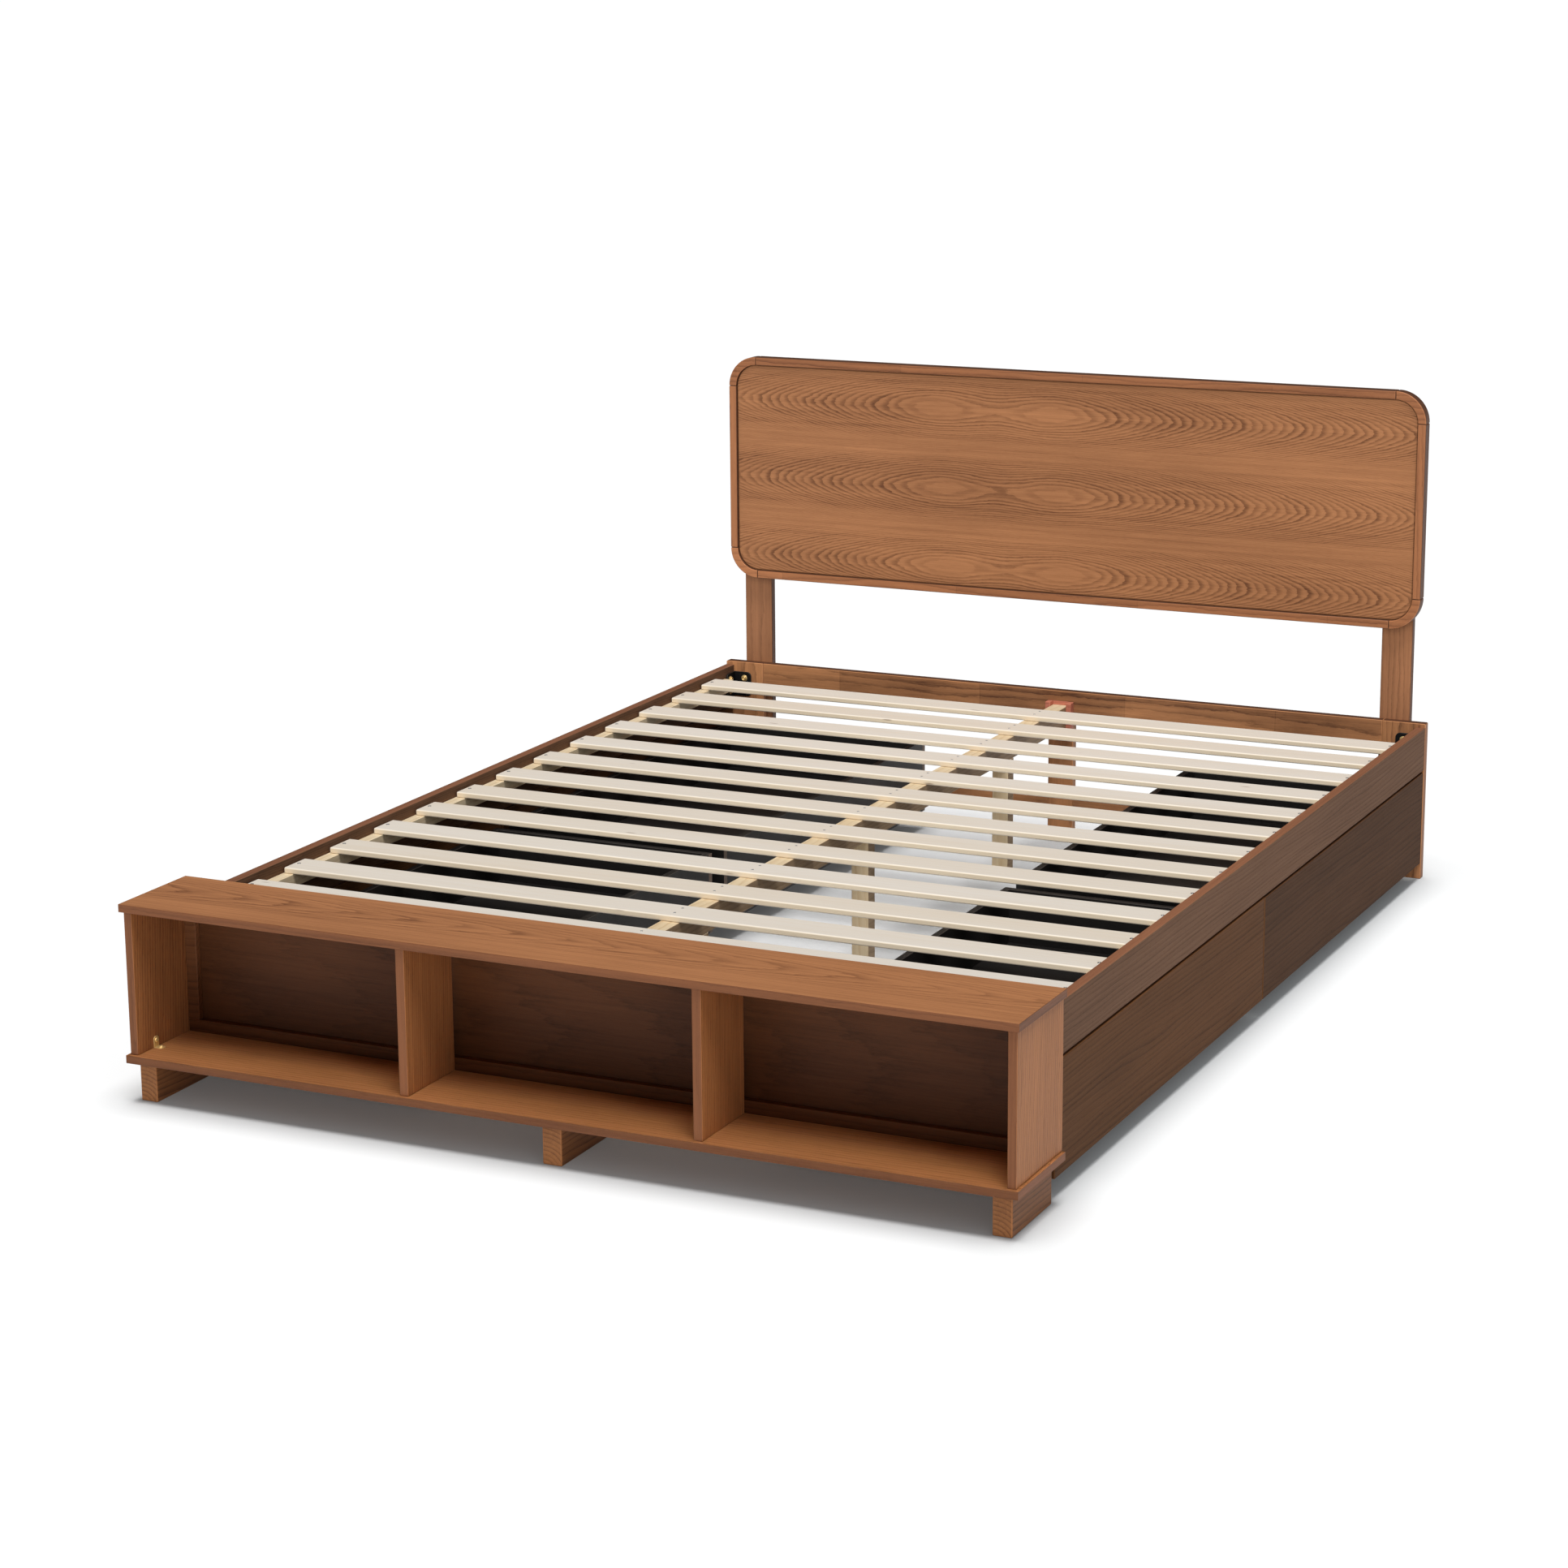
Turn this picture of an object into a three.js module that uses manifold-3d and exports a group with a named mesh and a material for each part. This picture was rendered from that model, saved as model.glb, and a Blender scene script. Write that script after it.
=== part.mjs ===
// Queen-size platform bed: an open bookcase across the foot, four roll-out
// drawers under the side rails, thirteen slats, a centre beam and a framed headboard.
// Millimetres, +Z up. +Y runs from the foot to the head, and +X is the right-hand side
// seen from the foot. The origin is on the floor, under the middle of the bed.

import * as THREE from 'three';
import { mergeVertices } from 'three/addons/utils/BufferGeometryUtils.js';
import Module from 'manifold-3d';

const wasm = await Module();
wasm.setup();

// ---- driving dimensions ----
const GAP = 0.3; // air between two pieces that touch

const WIDTH = 1620; // across the bookcase's top board
const SHELF_DEPTH = 198; // front to back of the bookcase's boards
const SHELF_TOP = 348; // floor to the top of the bookcase
const SHELF_BOTTOM = 69; // floor to the underside of the bookcase's lower board
const BOARD = 14; // thickness of the two long boards
const SIDE = { outer: 804.5, thick: 15, front: 7 }; // bookcase sides
const DIVIDER = { at: 268, thick: 16, back: 157.5 };
const BACK_FRAME = { front: 158, thick: 12, width: 22 };
const BACK_PANEL = 12; // thickness
const FOOT = { outer: 794.5, wide: 33, front: 17, back: 181, middle: 35 };

const RAIL = { outer: 792, thick: 19, top: 318, bottom: 230 };
const LEDGER = { wide: 22, high: 24, start: 250, end: 2212 };
const SLAT = { count: 13, wide: 68, thick: 11, first: 289, pitch: 150.9, lastPitch: 141, endGap: 4 };
const BEAM = { wide: 35, high: 45 };
const BEAM_LEG = { thick: 30, starts: [520, 1221, 1921] };

const HEAD_Y = 2262; // foot edge to the front face of the head legs
const HEAD_THICK = 20;
const HEAD_TOP = 326; // the head rail and legs stand a little above the side rails
const HEAD_RAIL_BOTTOM = 262;
const LOWER_RAIL = { bottom: 64, top: 106 }; // ties the head legs and centre leg near the floor
const HEAD_LEG = { wide: 90, cornerRadius: 3 };
const CENTRE_LEG = 56; // width of the centre leg under the head rail
const POCKET = { wide: 58, thick: 18, bottom: 232, top: 304 }; // holds the beam's head end
const POST = { inner: 689, outer: 753, thick: 18, top: 945 };

const HEADBOARD = { half: 774, bottom: 518.5, top: 1002, radius: 64, frame: 17, thick: 28, inset: 5 };

const DRAWER = { frontThick: 16, low: 34, high: 225, firstY: 199.5, lastY: 2258.5, seam: 4 };
const BOX = { inner: 302, wall: 13, low: 40, high: 197, floorLow: 90, floorHigh: 96, endInset: 24 };
const CASTER = { radius: 25, wide: 18, cheek: 2.5, insetX: 80, insetY: 90 };

const BRACKET = { leg: 42, thick: 3, low: 250, high: 304, boltRadius: 5, boltHead: 4 };

const LENGTH = HEAD_Y + HEAD_THICK + GAP + POST.thick;
const SIDES = { left: -1, right: 1 };

// ---- materials ----
const finish = (color, roughness, metalness = 0) =>
  new THREE.MeshStandardMaterial({ color, roughness, metalness });

const walnut = finish(0x9c6744, 0.5);
const walnutPanel = finish(0xa5734f, 0.5);
const walnutEdge = finish(0x8a5437, 0.55);
const drawerWalnut = finish(0x6d5240, 0.55);
const headWood = finish(0x7a4a34, 0.6);
const pine = finish(0xdcb887, 0.7);
const slatPoplar = finish(0xe6dccb, 0.75);
const blackLining = finish(0x15110f, 0.6);
const blackSteel = finish(0x18181a, 0.45, 0.8);

// ---- shape helpers ----
// The in-plane axes u, v and the extrusion axis w of a board, for each grain direction.
const AXES = {
  x: { u: 1, v: 2, w: 0 },
  y: { u: 2, v: 0, w: 1 },
  z: { u: 0, v: 1, w: 2 },
};
const UNIT = [new THREE.Vector3(1, 0, 0), new THREE.Vector3(0, 1, 0), new THREE.Vector3(0, 0, 1)];

function turnedTo(geometry, grain) {
  const { u, v, w } = AXES[grain];
  return geometry.applyMatrix4(new THREE.Matrix4().makeBasis(UNIT[u], UNIT[v], UNIT[w]));
}

// A rectangle centred on the origin; radii are in the order
// (-u,-v), (+u,-v), (+u,+v), (-u,+v), and a radius of 0 is a square corner.
function roundedRectangle(width, height, radii) {
  const [a, b, c, d] = Array.isArray(radii) ? radii : [radii, radii, radii, radii];
  const x = width / 2;
  const y = height / 2;
  const turn = Math.PI / 2;
  const shape = new THREE.Shape();
  const corner = (cx, cy, radius, start) => {
    if (radius > 0) shape.absarc(cx, cy, radius, start, start + turn, false);
    else shape.lineTo(cx, cy);
  };
  shape.moveTo(-x + a, -y);
  corner(x - b, -y + b, b, -turn);
  corner(x - c, y - c, c, 0);
  corner(-x + d, y - d, d, turn);
  corner(-x + a, -y + a, a, 2 * turn);
  return shape;
}

function extruded(shape, length, grain, segments = 3) {
  const geometry = new THREE.ExtrudeGeometry(shape, {
    depth: length,
    bevelEnabled: false,
    curveSegments: segments,
  });
  geometry.translate(0, 0, -length / 2);
  return turnedTo(geometry, grain);
}

function boardGeometry(size, grain, radii) {
  const { u, v, w } = AXES[grain];
  return extruded(roundedRectangle(size[u], size[v], radii), size[w], grain);
}

// ---- booleans ----
function toSolid(geometry) {
  const bare = geometry.clone();
  bare.deleteAttribute('normal');
  bare.deleteAttribute('uv');
  const merged = mergeVertices(bare, 1e-4);
  return new wasm.Manifold(
    new wasm.Mesh({
      numProp: 3,
      vertProperties: new Float32Array(merged.attributes.position.array),
      triVerts: new Uint32Array(merged.index.array),
    }),
  );
}

function toGeometry(solid) {
  const mesh = solid.getMesh();
  const geometry = new THREE.BufferGeometry();
  geometry.setAttribute('position', new THREE.BufferAttribute(new Float32Array(mesh.vertProperties), 3));
  geometry.setIndex(new THREE.BufferAttribute(new Uint32Array(mesh.triVerts), 1));
  geometry.computeVertexNormals();
  return geometry;
}

function block(low, high) {
  const size = high.map((value, i) => value - low[i]);
  const middle = high.map((value, i) => (value + low[i]) / 2);
  return toSolid(new THREE.BoxGeometry(...size).translate(...middle));
}

// A cylinder between two points that differ along one axis only.
function rod(middle, radius, length, axis, sides = 16) {
  const geometry = new THREE.CylinderGeometry(radius, radius, length, sides);
  if (axis === 'x') geometry.rotateZ(Math.PI / 2);
  if (axis === 'z') geometry.rotateX(Math.PI / 2);
  return toSolid(geometry.translate(...middle));
}

const joined = (first, ...others) => others.reduce((total, part) => total.add(part), first);
const cut = (first, ...others) => others.reduce((total, part) => total.subtract(part), first);

// ---- the bed, with Y measured from the foot edge ----
const bed = new THREE.Group();
bed.position.y = -LENGTH / 2;

function place(parent, name, geometry, material, at = [0, 0, 0]) {
  const mesh = new THREE.Mesh(geometry, material);
  mesh.name = name;
  mesh.position.set(...at);
  parent.add(mesh);
  return mesh;
}

// A straight board from its lowest and highest corners.
function board(parent, name, material, low, high, grain = 'x', radii = 1.5) {
  const size = high.map((value, i) => value - low[i]);
  const middle = high.map((value, i) => (value + low[i]) / 2);
  return place(parent, name, boardGeometry(size, grain, radii), material, middle);
}

// The span in X of something between two distances from the centre plane, on one side.
const spanX = (side, inner, outer) => (side < 0 ? [-outer, -inner] : [inner, outer]);

function bookcase() {
  const group = new THREE.Group();
  const top = SHELF_TOP - BOARD;
  const floor = SHELF_BOTTOM + BOARD;
  const half = WIDTH / 2;
  board(group, 'shelf_top_board', walnut, [-half, 0, top], [half, SHELF_DEPTH, SHELF_TOP], 'x', 2);
  board(group, 'shelf_bottom_board', walnut, [-half, 0, SHELF_BOTTOM], [half, SHELF_DEPTH, floor], 'x', 2);
  const low = floor + GAP;
  const high = top - GAP;
  for (const [name, side] of Object.entries(SIDES)) {
    const [x0, x1] = spanX(side, SIDE.outer - SIDE.thick, SIDE.outer);
    board(group, `shelf_side_${name}`, walnut, [x0, SIDE.front, low], [x1, SHELF_DEPTH, high], 'z');
    const [d0, d1] = spanX(side, DIVIDER.at - DIVIDER.thick / 2, DIVIDER.at + DIVIDER.thick / 2);
    board(group, `shelf_divider_${name}`, walnut, [d0, SIDE.front, low], [d1, DIVIDER.back, high], 'z');
    const [f0, f1] = spanX(side, FOOT.outer - FOOT.wide, FOOT.outer);
    board(group, `front_foot_${name}`, walnut, [f0, FOOT.front, 0], [f1, FOOT.back, SHELF_BOTTOM - GAP], 'y');
  }
  const middle = FOOT.middle / 2;
  board(group, 'front_foot_middle', walnut, [-middle, FOOT.front, 0], [middle, FOOT.back, SHELF_BOTTOM - GAP], 'y');

  const inside = SIDE.outer - SIDE.thick - GAP;
  const frame = roundedRectangle(2 * inside, high - low, 0);
  frame.holes.push(roundedRectangle(2 * (inside - BACK_FRAME.width), high - low - 2 * BACK_FRAME.width, 0));
  const ring = new THREE.ExtrudeGeometry(frame, { depth: BACK_FRAME.thick, bevelEnabled: false });
  ring.rotateX(Math.PI / 2);
  const ringBack = BACK_FRAME.front + BACK_FRAME.thick;
  place(group, 'shelf_back_frame', ring, walnutEdge, [0, ringBack, (low + high) / 2]);
  const panelFront = ringBack + GAP;
  board(group, 'shelf_back_panel', walnut, [-inside, panelFront, low], [inside, panelFront + BACK_PANEL, high], 'x', 0);
  return group;
}

function sideRails() {
  const group = new THREE.Group();
  const inner = RAIL.outer - RAIL.thick;
  const ledgerTop = RAIL.top - 2 * SLAT.thick - GAP;
  for (const [name, side] of Object.entries(SIDES)) {
    const [x0, x1] = spanX(side, inner, RAIL.outer);
    const start = [x0, SHELF_DEPTH + GAP, RAIL.bottom];
    board(group, `side_rail_${name}`, drawerWalnut, start, [x1, HEAD_Y - GAP, RAIL.top], 'y', 2);
    const [l0, l1] = spanX(side, inner - GAP - LEDGER.wide, inner - GAP);
    const bottom = ledgerTop - LEDGER.high;
    board(group, `slat_ledger_${name}`, pine, [l0, LEDGER.start, bottom], [l1, LEDGER.end, ledgerTop], 'y', 1);
  }
  return group;
}

function slats() {
  const group = new THREE.Group();
  const half = RAIL.outer - RAIL.thick - SLAT.endGap;
  const top = RAIL.top - SLAT.thick;
  for (let i = 0; i < SLAT.count; i += 1) {
    const last = i === SLAT.count - 1;
    const front = SLAT.first + SLAT.pitch * (last ? i - 1 : i) + (last ? SLAT.lastPitch : 0);
    const name = `slat_${String(i + 1).padStart(2, '0')}`;
    board(group, name, slatPoplar, [-half, front, top - SLAT.thick], [half, front + SLAT.wide, top], 'x', 2.5);
  }
  return group;
}

function centreBeam() {
  const group = new THREE.Group();
  const top = RAIL.top - 2 * SLAT.thick - GAP;
  const bottom = top - BEAM.high;
  const half = BEAM.wide / 2;
  const start = BACK_FRAME.front + BACK_FRAME.thick + BACK_PANEL + 2 * GAP;
  const end = HEAD_Y - 2 * GAP;
  board(group, 'centre_beam', pine, [-half, start, bottom], [half, end, top], 'y', 1.5);
  BEAM_LEG.starts.forEach((y, i) => {
    const low = [-half, y, 0];
    board(group, `beam_leg_${i + 1}`, pine, low, [half, y + BEAM_LEG.thick, bottom - GAP], 'z', 1.5);
  });

  const pocket = cut(
    block([-POCKET.wide / 2, HEAD_Y - GAP - POCKET.thick, POCKET.bottom], [POCKET.wide / 2, HEAD_Y - GAP, POCKET.top]),
    block([-half - GAP, HEAD_Y - 2 * POCKET.thick, bottom - GAP], [half + GAP, HEAD_Y + POCKET.thick, POCKET.top + BOARD]),
  );
  place(group, 'centre_beam_pocket', toGeometry(pocket), headWood);
  return group;
}

function headEnd() {
  const group = new THREE.Group();
  const back = HEAD_Y + HEAD_THICK;
  for (const [name, side] of Object.entries(SIDES)) {
    const [x0, x1] = spanX(side, RAIL.outer - HEAD_LEG.wide, RAIL.outer);
    const radii = side > 0 ? [0, 0, HEAD_LEG.cornerRadius, 0] : [0, 0, 0, HEAD_LEG.cornerRadius];
    const outline = roundedRectangle(HEAD_LEG.wide, HEAD_TOP, radii);
    const leg = new THREE.ExtrudeGeometry(outline, { depth: HEAD_THICK, bevelEnabled: false, curveSegments: 8 });
    leg.rotateX(Math.PI / 2);
    place(group, `head_leg_${name}`, leg, headWood, [(x0 + x1) / 2, back, HEAD_TOP / 2]);
    const [p0, p1] = spanX(side, POST.inner, POST.outer);
    const low = [p0, back + GAP, 0];
    board(group, `headboard_post_${name}`, walnutEdge, low, [p1, back + GAP + POST.thick, POST.top], 'z', 2);
  }
  const half = RAIL.outer - HEAD_LEG.wide - GAP;
  board(group, 'head_rail', headWood, [-half, HEAD_Y, HEAD_RAIL_BOTTOM], [half, back, HEAD_TOP], 'x', 1.5);
  const centre = CENTRE_LEG / 2;
  const legTop = HEAD_RAIL_BOTTOM - GAP;
  board(group, 'head_centre_leg', headWood, [-centre, HEAD_Y, 0], [centre, back, legTop], 'z', 1.5);
  const { bottom, top } = LOWER_RAIL;
  for (const [name, side] of Object.entries(SIDES)) {
    const [x0, x1] = spanX(side, centre + GAP, half);
    board(group, `head_lower_rail_${name}`, headWood, [x0, HEAD_Y, bottom], [x1, back, top], 'x', 1.5);
  }
  return group;
}

function headboard() {
  const group = new THREE.Group();
  const { half, bottom, top, radius, frame, thick, inset } = HEADBOARD;
  const back = HEAD_Y + HEAD_THICK;
  group.position.set(0, back, (bottom + top) / 2);
  const high = (top - bottom) / 2;
  const straightX = half - radius;
  const straightZ = high - radius;
  const inner = radius - frame;

  const panelHalf = half - frame - GAP;
  const panelHigh = high - frame - GAP;
  const outline = roundedRectangle(2 * panelHalf, 2 * panelHigh, inner - GAP);
  const panel = new THREE.ExtrudeGeometry(outline, { depth: thick - inset, bevelEnabled: false, curveSegments: 10 });
  place(group, 'headboard_panel', panel.rotateX(Math.PI / 2), walnutPanel);

  for (const [name, side] of Object.entries({ top: 1, bottom: -1 })) {
    const z = side * (high - frame / 2);
    const rail = boardGeometry([2 * (straightX - GAP), thick, frame], 'x', 2);
    place(group, `headboard_${name}_rail`, rail, walnutEdge, [0, -thick / 2, z]);
  }
  for (const [name, side] of Object.entries(SIDES)) {
    const x = side * (half - frame / 2);
    const stile = boardGeometry([frame, thick, 2 * (straightZ - GAP)], 'z', 2);
    place(group, `headboard_stile_${name}`, stile, walnutEdge, [x, -thick / 2, 0]);
  }

  const arc = new THREE.Shape();
  arc.absarc(0, 0, radius, 0, Math.PI / 2, false);
  arc.absarc(0, 0, inner, Math.PI / 2, 0, true);
  const corners = { top_right: 0, top_left: 1, bottom_left: 2, bottom_right: 3 };
  for (const [name, quarter] of Object.entries(corners)) {
    const piece = new THREE.ExtrudeGeometry(arc, { depth: thick, bevelEnabled: false, curveSegments: 10 });
    piece.rotateX(Math.PI / 2);
    const x = quarter === 0 || quarter === 3 ? straightX : -straightX;
    const z = quarter < 2 ? straightZ : -straightZ;
    const mesh = place(group, `headboard_corner_${name}`, piece, walnutEdge, [x, 0, z]);
    mesh.rotation.y = -quarter * (Math.PI / 2);
  }
  return group;
}

// One fixed caster under a drawer's bottom panel; it rolls along X.
function caster(x, y) {
  const halfWheel = CASTER.wide / 2;
  const reach = halfWheel + 1 + CASTER.cheek;
  const top = BOX.floorLow;
  const axle = CASTER.radius;
  const wheel = rod([x, y, axle], CASTER.radius, CASTER.wide, 'y', 24);
  const pin = rod([x, y, axle], 4, 2 * reach + 4, 'y', 12);
  const plate = block([x - 24, y - reach - 6, top - 3], [x + 24, y + reach + 6, top + 1]);
  const cheeks = [-1, 1].map((side) => {
    const [y0, y1] = side > 0 ? [y + halfWheel + 1, y + reach] : [y - reach, y - halfWheel - 1];
    return block([x - 14, y0, axle - 8], [x + 14, y1, top - 1]);
  });
  return joined(wheel, pin, plate, ...cheeks);
}

// An open box on four casters, standing behind its front panel.
function drawerBox(x0, x1, y0, y1) {
  const { wall, low, high, floorLow, floorHigh } = BOX;
  const shell = cut(
    block([x0, y0, low], [x1, y1, high]),
    block([x0 + wall, y0 + wall, floorHigh], [x1 - wall, y1 - wall, high + wall]),
    block([x0 + wall, y0 + wall, low - wall], [x1 - wall, y1 - wall, floorLow]),
  );
  const xs = [x0 + CASTER.insetX, x1 - CASTER.insetX];
  const ys = [y0 + CASTER.insetY, y1 - CASTER.insetY];
  return joined(shell, ...xs.flatMap((x) => ys.map((y) => caster(x, y))));
}

function drawers() {
  const group = new THREE.Group();
  const middle = (DRAWER.firstY + DRAWER.lastY) / 2;
  const rows = {
    front: [DRAWER.firstY, middle - DRAWER.seam / 2],
    rear: [middle + DRAWER.seam / 2, DRAWER.lastY],
  };
  const frontInner = RAIL.outer - DRAWER.frontThick;
  for (const [sideName, side] of Object.entries(SIDES)) {
    for (const [rowName, [y0, y1]] of Object.entries(rows)) {
      const [f0, f1] = spanX(side, frontInner, RAIL.outer);
      const name = `${sideName}_${rowName}`;
      board(group, `drawer_front_${name}`, drawerWalnut, [f0, y0, DRAWER.low], [f1, y1, DRAWER.high], 'y', 2);
      const [b0, b1] = spanX(side, BOX.inner, frontInner - GAP);
      const box = drawerBox(b0, b1, y0 + BOX.endInset, y1 - BOX.endInset);
      place(group, `drawer_box_${name}`, toGeometry(box), blackLining);
    }
  }
  return group;
}

// An angle bracket in the corner of a rail, with two bolts through each leg.
function cornerBracket(side, cornerY, facing) {
  const { leg, thick, low, high, boltRadius, boltHead } = BRACKET;
  const cornerX = RAIL.outer - RAIL.thick - GAP;
  const mirrored = (x0, x1, y0, y1, z0, z1) => {
    const [a, b] = spanX(side, Math.min(x0, x1), Math.max(x0, x1));
    return block([a, Math.min(y0, y1), z0], [b, Math.max(y0, y1), z1]);
  };
  const onRail = mirrored(cornerX - thick, cornerX, cornerY, cornerY + facing * leg, low, high);
  const onEnd = mirrored(cornerX - leg, cornerX, cornerY, cornerY + facing * thick, low, high);
  const bolts = [low + 14, high - 14].flatMap((z) => [
    rod([side * (cornerX - thick - boltHead / 2 + 1), cornerY + facing * 26, z], boltRadius, boltHead + 2, 'x', 12),
    rod([side * (cornerX - 26), cornerY + facing * (thick + boltHead / 2 - 1), z], boltRadius, boltHead + 2, 'y', 12),
  ]);
  return toGeometry(joined(onRail, onEnd, ...bolts));
}

function cornerBrackets() {
  const group = new THREE.Group();
  for (const [name, side] of Object.entries(SIDES)) {
    place(group, `corner_bracket_${name}`, cornerBracket(side, HEAD_Y - GAP, -1), blackSteel);
  }
  return group;
}

bed.add(bookcase(), sideRails(), slats(), centreBeam(), headEnd(), headboard(), drawers(), cornerBrackets());

export default bed;
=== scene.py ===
"""Looks of the platform bed: every CAD node gets a finely shaped wooden, lined or steel piece."""

import math
import random

import bmesh
import bpy
from mathutils import Matrix, Vector


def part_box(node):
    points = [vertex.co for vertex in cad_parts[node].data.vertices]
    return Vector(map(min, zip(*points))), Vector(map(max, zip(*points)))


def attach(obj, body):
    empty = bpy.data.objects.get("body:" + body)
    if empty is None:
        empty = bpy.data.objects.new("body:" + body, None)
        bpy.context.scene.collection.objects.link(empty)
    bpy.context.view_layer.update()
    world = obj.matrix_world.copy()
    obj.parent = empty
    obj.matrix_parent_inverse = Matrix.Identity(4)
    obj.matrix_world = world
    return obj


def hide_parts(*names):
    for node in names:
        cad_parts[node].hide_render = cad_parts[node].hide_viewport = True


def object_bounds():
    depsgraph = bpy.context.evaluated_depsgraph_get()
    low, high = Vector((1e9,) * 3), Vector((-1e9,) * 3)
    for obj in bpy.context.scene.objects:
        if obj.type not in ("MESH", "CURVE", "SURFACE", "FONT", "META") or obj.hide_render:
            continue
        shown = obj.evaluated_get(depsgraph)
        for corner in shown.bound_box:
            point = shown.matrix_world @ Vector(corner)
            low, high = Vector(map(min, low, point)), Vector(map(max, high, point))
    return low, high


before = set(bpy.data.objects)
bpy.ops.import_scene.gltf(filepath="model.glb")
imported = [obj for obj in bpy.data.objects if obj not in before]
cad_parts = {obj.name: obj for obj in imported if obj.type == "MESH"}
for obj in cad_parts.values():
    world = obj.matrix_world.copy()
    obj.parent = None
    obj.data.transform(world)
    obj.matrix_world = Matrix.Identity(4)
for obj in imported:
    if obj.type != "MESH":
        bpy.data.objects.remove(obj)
CAD_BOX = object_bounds()

MM = 0.001
SIDES = {"left": -1, "right": 1}
ROWS = ("front", "rear")
FRAME_BODY = "bed_frame"
SEED = random.Random(7)


# ---------------------------------------------------------------- materials
EYE_BLEND = 0.22
EYE_BLUNTNESS = 0.012
# The axes along, across and through a board, by the name of its grain. Its face looks along the last.
GRAIN_AXES = {"x": (0, 1, 2), "y": (1, 2, 0), "z": (2, 0, 1), "X": (0, 2, 1), "Z": (2, 1, 0)}


class Graph:
    """A short way to wire shader nodes of one material."""

    def __init__(self, name):
        self.material = bpy.data.materials.new(name)
        self.material.use_nodes = True
        self.nodes = self.material.node_tree.nodes
        self.links = self.material.node_tree.links
        self.shader = self.nodes["Principled BSDF"]

    def plug(self, socket, value):
        if isinstance(value, bpy.types.NodeSocket):
            self.links.new(value, socket)
        elif value is not None:
            socket.default_value = value

    def node(self, kind, inputs=None, **settings):
        made = self.nodes.new(kind)
        for key, value in settings.items():
            setattr(made, key, value)
        for key, value in (inputs or {}).items():
            self.plug(made.inputs[key], value)
        return made

    def math(self, operation, a, b=None, c=None, clamp=False):
        made = self.node("ShaderNodeMath", operation=operation, use_clamp=clamp)
        for socket, value in zip(made.inputs, (a, b, c)):
            self.plug(socket, value)
        return made.outputs[0]

    def combine(self, x, y, z):
        return self.node("ShaderNodeCombineXYZ", {"X": x, "Y": y, "Z": z}).outputs[0]

    def noise(self, vector, scale=1.0, detail=3.0, roughness=0.5):
        values = {"Vector": vector, "Scale": scale, "Detail": detail, "Roughness": roughness}
        return self.node("ShaderNodeTexNoise", values).outputs["Fac"]

    def remap(self, value, low, high, to_low=0.0, to_high=1.0, smooth=True):
        kind = "SMOOTHSTEP" if smooth else "LINEAR"
        made = self.node("ShaderNodeMapRange", interpolation_type=kind)
        for key, amount in zip(("Value", "From Min", "From Max", "To Min", "To Max"),
                               (value, low, high, to_low, to_high)):
            self.plug(made.inputs[key], amount)
        return made.outputs[0]

    def mix(self, factor, a, b):
        made = self.node("ShaderNodeMix", data_type="RGBA")
        self.plug(made.inputs["Factor"], factor)
        self.plug(made.inputs[6], a if isinstance(a, bpy.types.NodeSocket) else (*a, 1))
        self.plug(made.inputs[7], b if isinstance(b, bpy.types.NodeSocket) else (*b, 1))
        return made.outputs[2]

    def random_step(self, value):
        """A random level for each whole number that value passes."""
        whole = self.math("FLOOR", value)
        made = self.node("ShaderNodeTexWhiteNoise", {"W": whole}, noise_dimensions="1D")
        return made.outputs["Value"]

    def attribute(self, name):
        return self.node("ShaderNodeAttribute", attribute_name=name).outputs["Fac"]

    def grain_space(self, grain):
        """Along, across and through the board, from the piece's own coordinates."""
        place = self.node("ShaderNodeTexCoord").outputs["Object"]
        split = self.node("ShaderNodeSeparateXYZ", {"Vector": place}).outputs
        along, across, through = GRAIN_AXES[grain]
        return split[along], split[across], split[through]

    def bump(self, height, strength, distance):
        values = {"Height": height, "Strength": strength, "Distance": distance}
        return self.node("ShaderNodeBump", values).outputs["Normal"]


def srgb(red, green, blue):
    """Linear colour from 0-255 screen values."""
    def linear(value):
        value /= 255
        return value / 12.92 if value <= 0.04045 else ((value + 0.055) / 1.055) ** 2.4
    return linear(red), linear(green), linear(blue)


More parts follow.
